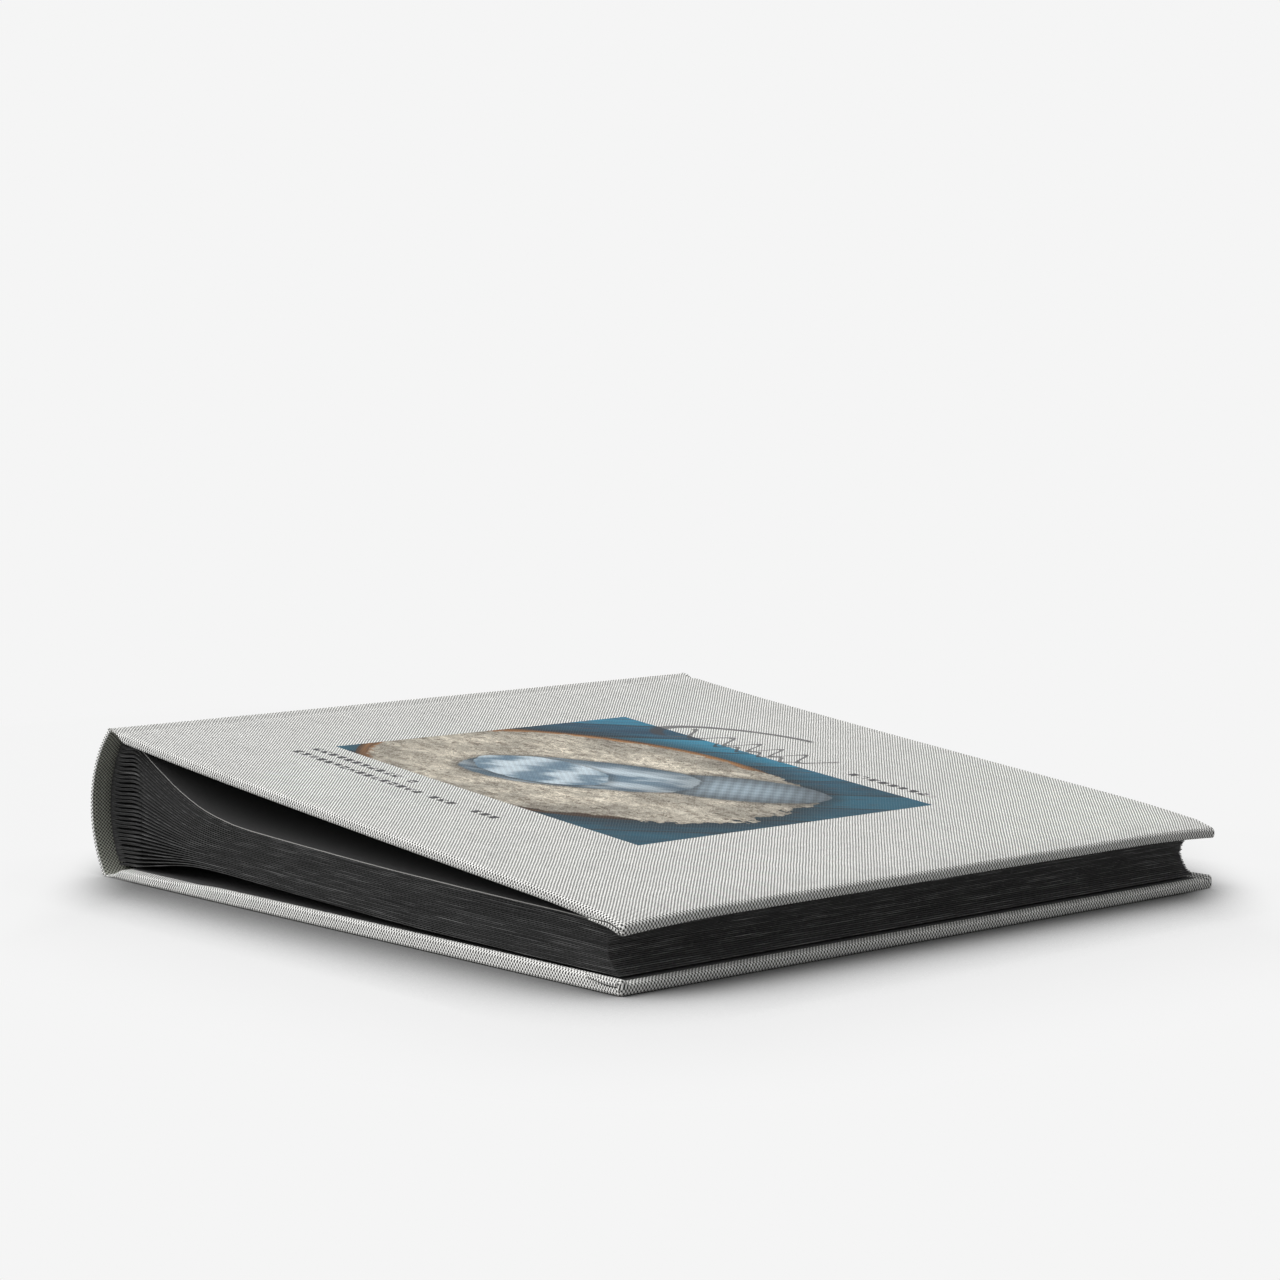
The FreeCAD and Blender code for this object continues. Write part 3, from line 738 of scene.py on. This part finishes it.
# %% Places on the front cover
COVER_LENGTH = cloth_s1
SAG, EDGE_DROOP, CORNER_DROOP = 1.25 * MM, 1.5 * MM, 1.7 * MM
LIP_WIDTH, PAST_LEAVES, CORNER_REACH = 9 * MM, 45 * MM, 50 * MM


def edge_drop(s, y):
    """How far the cover's fore edge and corners hang down."""
    lip = share_of(s, COVER_LENGTH - LIP_WIDTH, COVER_LENGTH)
    past = share_of(s, COVER_LENGTH - PAST_LEAVES, COVER_LENGTH)
    corner = share_of(abs(y), HALF - CORNER_REACH, HALF)
    return EDGE_DROOP * lip ** 2 + CORNER_DROOP * past ** 1.6 * corner ** 2


def cover_drop(s, y):
    """How far the front cover hangs below the flat construction cover."""
    return SAG * math.sin(math.pi * share_of(s, 0.0, COVER_LENGTH) ** 0.6) + edge_drop(s, y)


def on_front(s, n, y):
    """A point of the front cover in the album's frame."""
    point = hinge + along * s + upward * n
    return (point.x, y, point.z - cover_drop(s, y))


def on_album(x, z, y):
    """A point given directly in the album's frame."""
    return (x, y, z)


print("front cover length", round(COVER_LENGTH / MM, 1), "mm")

# %% [markdown]
# ## The wrapped linen
#
# Bookcloth is glued to the outside, folded over the edges and turned in. The mesh is that one
# skin, open where the pasted paper lies. A Solidify modifier adds the cloth's thickness, inward.

# %% Wrap linen over boards
CLOTH = 0.45 * MM
EDGE_ROUND, CORNER_ROUND = 1.35 * MM, 1.3 * MM
CORNER_START = 12 * MM
LINEN_STATIONS = stations_between(
    -HALF, HALF, 8 * MM,
    [e * MM for e in (0.06, 0.25, 0.6, 1.0, 1.35, 2.0, 3.0, 4.0, 5.0, 9.0)] + [TURN_IN])


def nose(end, outside, inside):
    """Points round the fore edge, from the outside face halfway to the inside face."""
    way, r = (1 if inside > outside else -1), EDGE_ROUND
    angles = [math.pi / 2 * step / 4 for step in range(5)]
    return [(end - r + r * math.sin(a), outside + way * (r - r * math.cos(a))) for a in angles]


def rounded(radius, distance):
    """How far a rounded edge has drawn back, at a distance in from the rim."""
    left = max(0.0, radius - distance)
    return radius - math.sqrt(max(0.0, radius ** 2 - left ** 2))


def wrapped_linen(name, outer, inner, end, place, u_start, thin=0, lift=None):
    """Linen over the outer line, round the fore edge, and turned in along the inner line.
    lift(s, y) raises the inner side where the folded cloth is thick. The first points, as many
    as thin, are a shell with barely rounded ends, and material slot 1 on its inside."""
    out_n, in_n = outer[-1][1], inner[-1][1]
    first = nose(end, out_n, in_n)
    second = [(s, out_n + in_n - n) for s, n in reversed(first)]
    ring = outer + first + second + inner[::-1]
    count = len(ring)
    apart = [math.dist(ring[k], ring[count - 1 - k]) for k in range(count)]

    def shape(k, y):
        pinch = rounded(EDGE_ROUND, HALF - abs(y))
        plan = rounded(CORNER_ROUND, HALF - abs(y))
        (s, n), (s2, n2) = ring[k], ring[count - 1 - k]
        if apart[k] > 1e-9:
            most = 0.46 if thin <= k < count - thin else 0.12
            amount = min(pinch, most * apart[k]) / apart[k]
            s, n = s + (s2 - s) * amount, n + (n2 - n) * amount
        if lift and k >= len(outer) + len(first) + 1:
            n += lift(s, y)
        return s - plan * share_of(s, end - CORNER_START, end), n

    def skip(k, y):
        inside = k >= len(outer) + 2 * len(first) - 1
        if not inside or k + 1 >= count:
            return False
        middle = (ring[k][0] + ring[k + 1][0]) / 2
        return abs(y) < HALF - TURN_IN and middle < end - TURN_IN

    piece = sweep(name, ring, LINEN_STATIONS, place, shape, False, skip, u_start)
    for face in piece.data.polygons:
        places = [v % count for v in face.vertices]
        face.material_index = int(min(places) >= count - thin)
    skin = piece.modifiers.new("cloth thickness", "SOLIDIFY")
    skin.thickness, skin.offset = CLOTH, -1
    skin.use_even_offset = False
    return piece


print(len(LINEN_STATIONS), "stations from tail to head")

# %% [markdown]
# The spine is a piece of card bowed outward. Its outer and inner arcs come from the
# construction model: one circle is fitted to each.

# %% Spine arcs
def circle_through(points):
    """Centre and radius of the circle that fits the points best."""
    rows = np.array([(x, z, 1.0) for x, z in points])
    squares = np.array([-(x * x + z * z) for x, z in points])
    a, b, c = np.linalg.lstsq(rows, squares, rcond=None)[0]
    centre = (-a / 2, -b / 2)
    return centre, math.sqrt(centre[0] ** 2 + centre[1] ** 2 - c)


spine_points = end_points("spine_cloth")
spine_centre, outer_radius = circle_through(spine_points)
for band in (0.0, 0.9 * MM):
    outer_points = [p for p in spine_points if math.dist(p, spine_centre) > outer_radius - band]
    spine_centre, outer_radius = circle_through(outer_points)
inner_points = [p for p in spine_points if p not in outer_points]
inner_radius = np.mean([math.dist(p, spine_centre) for p in inner_points])


def arc_angle(point):
    """Angle of a point about the spine's centre, 0 level and growing upward."""
    return math.atan2(point[1] - spine_centre[1], spine_centre[0] - point[0])


def arc_line(points, radius, count):
    """Points along an arc from its top end to its foot."""
    top = arc_angle(max(points, key=lambda p: p[1]))
    foot = arc_angle(min(points, key=lambda p: p[1]))
    angles = [top + (foot - top) * i / (count - 1) for i in range(count)]
    return [(spine_centre[0] - radius * math.cos(t), spine_centre[1] + radius * math.sin(t))
            for t in angles]


ARC_STEPS = 36
spine_outer = arc_line(outer_points, outer_radius, ARC_STEPS)
spine_inner = arc_line(inner_points, inner_radius, ARC_STEPS)
print(f"spine radius {outer_radius / MM:.1f} mm outside, {inner_radius / MM:.1f} mm inside")

# %% [markdown]
# One piece of linen runs down the spine's arc and on below the back board. Along the tail and
# head its inner side is raised, where the cloth is folded double.

# %% Linen of the spine and back cover
FLAT_START = 5 * MM
FOLD_THICKNESS = 1.5 * MM
FOLD_START_X, FOLD_FULL_X = -0.125, -0.070
foot_x = spine_outer[-1][0]
board_start = back_board_low.x
outer = spine_outer[:-1] + [(foot_x + 0.25 * MM, 0.35 * MM), (foot_x + 1.0 * MM, 0.0)]
inner = spine_inner[:-1] + [(foot_x + 3.1 * MM, 0.95 * MM), (foot_x + 4.0 * MM, 1.0 * MM)]
for x in np.linspace(foot_x + FLAT_START, board_start - 0.3 * MM, 9):
    rise = eased(share_of(x, foot_x + FLAT_START, board_start))
    outer.append((x, 0.0))
    inner.append((x, 1.0 * MM + (back_high.z - 1.0 * MM) * rise))
for x in np.linspace(board_start, back_high.x - EDGE_ROUND - 0.3 * MM, 42):
    outer.append((x, 0.0))
    inner.append((x, back_high.z))


def fold_lift(x, y):
    """The folded linen along the back cover's tail and head is thicker than flat cloth."""
    out = share_of(abs(y), LEAF_HALF + 1.0 * MM, LEAF_HALF + 2.6 * MM)
    far = share_of(x, FOLD_START_X, FOLD_FULL_X)
    return FOLD_THICKNESS * eased(out) * eased(far)


back_linen = wrapped_linen("back_linen", outer, inner, back_high.x, on_album, 0.05,
                           ARC_STEPS, fold_lift)
give_materials(back_linen, linen, shaded_linen)
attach(back_linen, "binding")
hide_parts("spine_cloth", "back_cover_cloth")
print("back linen", len(back_linen.data.polygons), "faces")

# %% [markdown]
# The front linen starts where the spine ends and runs over the joint, which is only cloth with
# a shallow groove.

# %% Linen of the front cover
spine_top_s, spine_top_n = cover_frame(*spine_outer[0])
GROOVE = 0.45 * MM
CLOTH_JOINT, PAPER_JOINT = 0.50 * MM, 0.55 * MM


def joint_line(s):
    """Height of the joint's outside at a distance s past the hinge."""
    start, end = 2.2 * MM, board_s0
    if not start < s < end:
        return cloth_n1
    return cloth_n1 - GROOVE * math.sin(math.pi * (s - start) / (end - start)) ** 2


def joint_layers(s, joint):
    """Thickness at s, from that of the joint to that of the whole cover."""
    share = share_of(s, 2.4 * MM, board_s0)
    return joint + (cloth_n1 - infill_n0 - CLOTH_JOINT) * eased(share)


outer = [(spine_top_s, spine_top_n)]
outer += [(-0.62 * MM, -0.16 * MM), (-0.1 * MM, 0.1 * MM), (0.7 * MM, 0.21 * MM)]
outer += [(s, joint_line(s)) for s in np.linspace(1.6 * MM, board_s0 - 0.25 * MM, 11)]
inner = []
for s, n in outer:
    inner.append((s, n - joint_layers(s, CLOTH_JOINT)) if s > 0 else (s + 0.35 * MM, n - 0.35 * MM))
for s in np.linspace(board_s0, cloth_s1 - EDGE_ROUND - 0.3 * MM, 42):
    outer.append((s, cloth_n1))
    inner.append((s, infill_n0))
front_linen = wrapped_linen("front_linen", outer, inner, cloth_s1, on_front, spine_top_s)
front_linen.data.materials.append(printed_linen)
BEND_START, BEND_END = on_front(-0.6 * MM, 0, 0), on_front(9.0 * MM, 0, 0)
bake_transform(front_linen)
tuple(BEND_START)
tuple(BEND_END)
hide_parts("front_cover_cloth")
print("front linen", len(front_linen.data.polygons), "faces")

# %% [markdown]
# ## Card and paper
#
# The pages are black card with a fine felt surface. Cut edges are greyer, in streaks.

# %% Black card, cut edges, board and lining
def card_material(name, colour, edge_amount=0.0, fibre=0.3):
    """Matt card: mottled fibres, and for cut edges a light grey bloom, with painted light on faces that
    look along x and painted shade near the spine.
    """
    material, tree, shader = start_material(name, 0.8, 0.25, 0.0)
    x, y, z = [c * (1 / MM) for c in coordinates(tree, "Object")]
    felt = clouds(tree, vector(tree, x, y, z), 1.6, 4.0, 0.65)
    tone = (felt - 0.5) * fibre * 2.0 + 1.0
    base = times(tree, colour, tone)
    if edge_amount:
        own = Signal(tree, tree.nodes.new("ShaderNodeObjectInfo").outputs["Random"])
        streak = clouds(tree, vector(tree, x * 0.05, y * 0.05, z * 1.4 + own * 50.0), 1.0, 3.0, 0.6)
        flecks = clouds(tree, vector(tree, x * 0.5, y * 0.5, z * 2.5 + own * 90.0), 1.0, 3.0, 0.7)
        worn = (streak.ramp(0.45, 0.72) + flecks.ramp(0.52, 0.78)) * (own * 1.3 + 0.25) * edge_amount
        base = blend_colours(tree, worn, base, (0.34, 0.34, 0.34))
        # Painted light: faces that look along x, such as the fore edges, are lit up to 2.2 times and the
        # rest dimmed to 0.85. Near the spine all of it gets painted shade, down to 0.42.
        painted_side_light = coordinates(tree, "Normal")[0].abs().ramp(0.5, 0.9, 0.85, 2.2)
        painted_side_light = painted_side_light * x.ramp(-162.0, -142.0, 0.42, 1.0)
        base = times(tree, base, painted_side_light)
    surface_from(tree, shader, base, felt, 0.08 * MM, 0.5)
    return material


black_card = card_material("black_card", (0.07, 0.07, 0.07))
cut_edge = card_material("cut_edge", (0.037, 0.037, 0.037), 0.34)
guard_edge = card_material("guard_edge", (0.038, 0.038, 0.038), 0.40)
worn_edge = card_material("worn_edge", (0.55, 0.54, 0.52), 0.3, 0.5)
grey_board = card_material("grey_board", (0.30, 0.28, 0.25), 0.0, 0.4)
lining_card = card_material("lining_card", (0.06, 0.06, 0.055), 0.0, 0.4)
for node in ("back_board", "spine_card"):
    frame["nodes"][node].data.materials[0] = grey_board
for node in ("back_infill_card", "spine_lining"):
    frame["nodes"][node].data.materials[0] = lining_card
print("card materials ready")

# %% [markdown]
# The front cover's board, infill and pasted paper follow its sag, so they are made again.


# %% Boards and papers of the front cover
def slab(name, line, thickness, half, place, materials, node, step=10 * MM):
    """A sheet below a line of (s, n) points, as thick as given."""
    below = [(s, n - thickness) for s, n in line]
    piece = sweep(name, line + below[::-1], stations_between(-half, half, step), place)
    give_materials(piece, *materials)
    smooth_shading(piece, 40)
    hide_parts(node)
    return piece


def even_line(s0, s1, n, step=8 * MM):
    """A level line of even steps, as (s, n) points."""
    return [(s, n) for s in np.linspace(s0, s1, max(2, round((s1 - s0) / step)))]


board = slab("front_greyboard", even_line(board_s0, board_s1 - 0.1 * MM, board_n1 - 0.05 * MM),
             board_n1 - board_n0 - 0.05 * MM, back_board_high.y - 0.1 * MM, on_front,
             [grey_board, grey_board], "front_board")
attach(board, "front_cover")
infill = slab("front_infill", even_line(infill_s0, infill_s1, infill_n1),
              infill_n1 - infill_n0, back_infill_high.y, on_front,
              [lining_card, lining_card], "front_infill_card")
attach(infill, "front_cover")
hinge_paper = [(s, joint_line(s) - joint_layers(s, PAPER_JOINT))
               for s in np.linspace(2.6 * MM, board_s0 - 0.6 * MM, 10)]
paper = slab("front_lining_paper", hinge_paper + even_line(paper_s0 + 0.2 * MM, paper_s1, paper_n1),
             paper_n1 - paper_n0, LEAF_HALF, on_front, [black_card, cut_edge],
             "front_pasted_paper")
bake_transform(paper)
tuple(BEND_START)
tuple(BEND_END)
frame["nodes"]["back_pasted_paper"].data.materials[0] = black_card
print("front cover layers made")

# %% [markdown]
# ## Leaves
#
# A leaf bends over where it leaves its guard, and runs down to the thin fore edge. It follows
# the line of its construction leaf, sags a little, and has its own slightly uneven cut.

# %% Leaves on their lines
KNEE_X, REACH_X = -0.080, 0.146  # where the sag starts and ends
LEAF_SAG, LEAF_THICKNESS = 1.3 * MM, 0.34 * MM


def centre_line(node):
    """Middle of a leaf from fold to fore edge, halfway between its lower and upper points."""
    points = end_points(node)
    return [((a[0] + b[0]) / 2, (a[1] + b[1]) / 2) for a, b in zip(points[::2], points[1::2])]


def leaf_line(node, step=6 * MM):
    """The centre line with even steps along it, sagging past the bend."""
    points = centre_line(node)
    line = []
    for (x0, z0), (x1, z1) in zip(points, points[1:]):
        count = max(1, round(math.hypot(x1 - x0, z1 - z0) / step))
        line += [(x0 + (x1 - x0) * i / count, z0 + (z1 - z0) * i / count) for i in range(count)]
    line.append(points[-1])
    for _ in range(5):
        middle = [((a[0] + 2 * b[0] + c[0]) / 4, (a[1] + 2 * b[1] + c[1]) / 4)
                  for a, b, c in zip(line, line[1:], line[2:])]
        line = [line[0], *middle, line[-1]]
    return [(x, z - LEAF_SAG * math.sin(math.pi * share_of(x, KNEE_X, REACH_X))) for x, z in line]


def leaf(name, node, number, body, edge):
    """One card leaf, cut by hand, on its own body."""
    line = leaf_line(node)
    end = line[-1][0]

    def place(x, z, y):
        rough = 0.45 * MM * noise.noise(Vector((x * 25, number * 17.37 + 0.5, 0.5)))
        fine = 0.15 * MM * noise.noise(Vector((x * 300, number * 23.71 + 0.5, 1.5)))
        if abs(y) > LEAF_HALF - 0.01 * MM:
            y += rough + fine
        if x > end - 0.2 * MM:
            x += 0.35 * MM * noise.noise(Vector((y * 25, number * 31.53 + 0.5, 4.5))) - 0.1 * MM
        z -= edge_drop(x - hinge.x, y) * number / (len(order) - 1)
        wave = 0.07 * MM * noise.noise(Vector((x * 18, y * 14, number * 0.35)))
        return (x, y, z + wave * share_of(x, line[0][0], line[0][0] + 0.02))

    upper = [(x, z + LEAF_THICKNESS / 2) for x, z in line]
    lower = [(x, z - LEAF_THICKNESS / 2) for x, z in line]
    rows = stations_between(-LEAF_HALF, LEAF_HALF, 20 * MM, [1 * MM])
    piece = sweep(name, upper + lower[::-1], rows, place)
    give_materials(piece, black_card, edge)
    smooth_shading(piece, 40)
    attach(piece, body)
    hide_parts(node)
    return piece


leaf_nodes = sorted(n for n in frame["nodes"] if n.startswith("leaf_"))
order = ["back_flyleaf"] + leaf_nodes + ["front_flyleaf"]
for number, node in enumerate(order):
    edge = worn_edge if node == "front_flyleaf" else cut_edge
    body = "binding" if node == "back_flyleaf" else node + "_body"
    piece_name = "page_" + node[5:] if node.startswith("leaf_") else node + "_card"
    leaf(piece_name, node, number, body, edge)
print(len(order), "leaves")

# %% [markdown]
# ## Guards
#
# Behind each leaf sits a guard, a strip of card folded double and glued into the spine. Guards
# make room for what gets stuck in later. Seen from the tail they are a fan of hairpins.

# %% Guard strips
BACKING = 5.0 * MM
CREASE_GAP = 0.25 * MM
guard_levels = sorted(centre_line(node)[0][1] for node in order)


def fall_of(node):
    """Slope of a leaf where it leaves its guard."""
    (x0, z0), (x1, z1) = centre_line(node)[:2]
    return (z1 - z0) / (x1 - x0)


def hairpin(number, level, fall, crease):
    """The ring of one folded strip: out along the outside, back along the inside."""
    ply, gap = 0.30 * MM, 0.50 * MM
    spread = level + 0.05 * (level - spine_centre[1])
    back = spine_centre[0] - math.sqrt(inner_radius ** 2 - (spread - spine_centre[1]) ** 2) + BACKING
    length = crease - CREASE_GAP - back
    wander = 0.45 * MM * noise.noise(Vector((number * 11.77 + 0.5, 2.5, 0.5)))
    top_out, top_in, low_out, low_in = [], [], [], []
    for i in range(13):
        t = 1 - i / 12
        x = back + 0.6 * MM + (length - 0.6 * MM) * t
        middle = spread + (level - spread) * eased(t)
        middle += fall * length * ((t ** 3 - t ** 2) + 0.7 * (t ** 3 - 2 * t ** 2 + t))
        middle += wander * math.sin(math.pi * t)
        half_gap = (gap / 2) * min(1.0, 0.25 + 2.2 * (1 - t))
        top_out.append((x, middle + half_gap + ply / 2))
        top_in.append((x, middle + half_gap - ply / 2))
        low_out.append((x, middle - half_gap - ply / 2))
        low_in.append((x, middle - half_gap + ply / 2))
    loop_out = [(back, spread + 0.12 * MM), (back, spread - 0.12 * MM)]
    loop_in = [(back + ply, spread + 0.06 * MM), (back + ply, spread - 0.06 * MM)]
    path_in = top_in + loop_in + low_in[::-1]
    return top_out + loop_out + low_out[::-1] + path_in[::-1]


for number, level in enumerate(guard_levels):
    def place(x, z, y, number=number):
        if abs(y) > LEAF_HALF - 0.01 * MM:
            y += 0.3 * MM * noise.noise(Vector((x * 60, number * 13.31 + 0.5, 2.5)))
        return (x, y, z)

    crease = centre_line(order[number])[0][0]
    ring = hairpin(number, level, fall_of(order[number]), crease)
    rows = stations_between(-LEAF_HALF, LEAF_HALF, 30 * MM, [1 * MM])
    strip = sweep(f"guard_{number + 1:02d}", ring, rows, place)
    give_materials(strip, black_card, guard_edge)
    smooth_shading(strip, 50)
    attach(strip, "binding")
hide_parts("guard_strips")

# %% [markdown]
# The folds of the guards are glued into a black backing that fills the bow of the spine. It
# stops short of the tail and head, so it shows as a dark recess.

# %% Spine backing
BACKING_STEPS, BACKING_SHORT = 24, 3 * MM
backing_inner, backing_outer = [], []
for i in range(BACKING_STEPS + 1):
    z = guard_levels[0] - 0.8 * MM + (guard_levels[-1] - guard_levels[0] + 1.6 * MM) * i / BACKING_STEPS
    reach = math.sqrt(inner_radius ** 2 - (z - spine_centre[1]) ** 2)
    backing_outer.append((spine_centre[0] - reach + 0.1 * MM, z))
    backing_inner.append((spine_centre[0] - reach + BACKING + 0.8 * MM, z))
backing = sweep("spine_backing", backing_outer + backing_inner[::-1],
                stations_between(BACKING_SHORT - LEAF_HALF, LEAF_HALF - BACKING_SHORT, 30 * MM), on_album)
give_materials(backing, black_card, black_card)
smooth_shading(backing, 50)
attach(backing, "binding")
print("backing", len(backing.data.polygons), "faces")

# %% [markdown]
# ## Corner folds
#
# At each fore corner the tucked linen shows on the board's thickness as a short tongue with a
# dark slit above it. The slit's shadow is painted, as near-black faces along the tongue's top.

# %% Corner tongues
# Near-black material for the slit faces: painted shadow under the folded cloth's edge.
slit_shadow_paint = card_material("slit_shadow", (0.03, 0.03, 0.028))
TONGUE_REACH, TONGUE_STATIONS = 17 * MM, 14
TONGUE_UV = 0.5 * MM
SLIT_FACES = (3, 4)
TONGUE_OUTLINE = ((0.3, 0.0), (-0.55, 0.12), (-1.0, 0.4), (-1.0, 0.80), (-0.7, 0.86), (-0.5, 1.0),
                  (0.3, 1.0))


def corner_tongue(name, place, end, low, high, side, body):
    """A tongue of folded linen on the board's thickness, running into the fore corner. Its
    outline gives how far out and how far up each point lies."""
    count, last = len(TONGUE_OUTLINE), TONGUE_STATIONS - 1
    way_up = math.copysign(1, high - low)
    vertices, faces, uvs, slots = [], [], [], []
    for i in range(TONGUE_STATIONS):
        t = i / last
        s = end - TONGUE_REACH + (TONGUE_REACH - 1.6 * MM) * t
        tall = (0.9 + 1.2 * min(1.0, t * 1.6)) * MM
        base = low + (high - low) * 0.06 * t
        proud = 0.42 * MM * math.sin(math.pi * min(1.0, 0.25 + 0.75 * t)) + 0.08 * MM
        vertices += [place(s, base + way_up * tall * up, side * (HALF - out * proud))
                     for out, up in TONGUE_OUTLINE]
    for i in range(last):
        s0, s1 = (end - TONGUE_REACH + TONGUE_REACH * j / last for j in (i, i + 1))
        row, above = i * count, (i + 1) * count
        for k in range(count):
            after = (k + 1) % count
            v0, v1 = k * TONGUE_UV, (k + 1) * TONGUE_UV
            faces.append([row + k, row + after, above + after, above + k])
            uvs += [(s0, v0), (s0, v1), (s1, v1), (s1, v0)]
            slots.append(int(k in SLIT_FACES))
    faces += [list(range(count))[::-1], [last * count + k for k in range(count)]]
    uvs += [(0.0, 0.0)] * (2 * count)
    piece = finished_mesh(name, vertices, faces, uvs, slots + [0, 0])
    give_materials(piece, linen, slit_shadow_paint)
    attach(piece, body)
    return piece


for side, word in ((-1, "tail"), (1, "head")):
    corner_tongue(f"front_fold_{word}", on_front, cloth_s1, infill_n0 - 0.15 * MM, cloth_n1, side,
                  "front_cover")
    corner_tongue(f"back_fold_{word}", on_album, back_high.x, back_high.z + 1.2 * MM, 0.0, side,
                  "binding")
print("corner folds made")
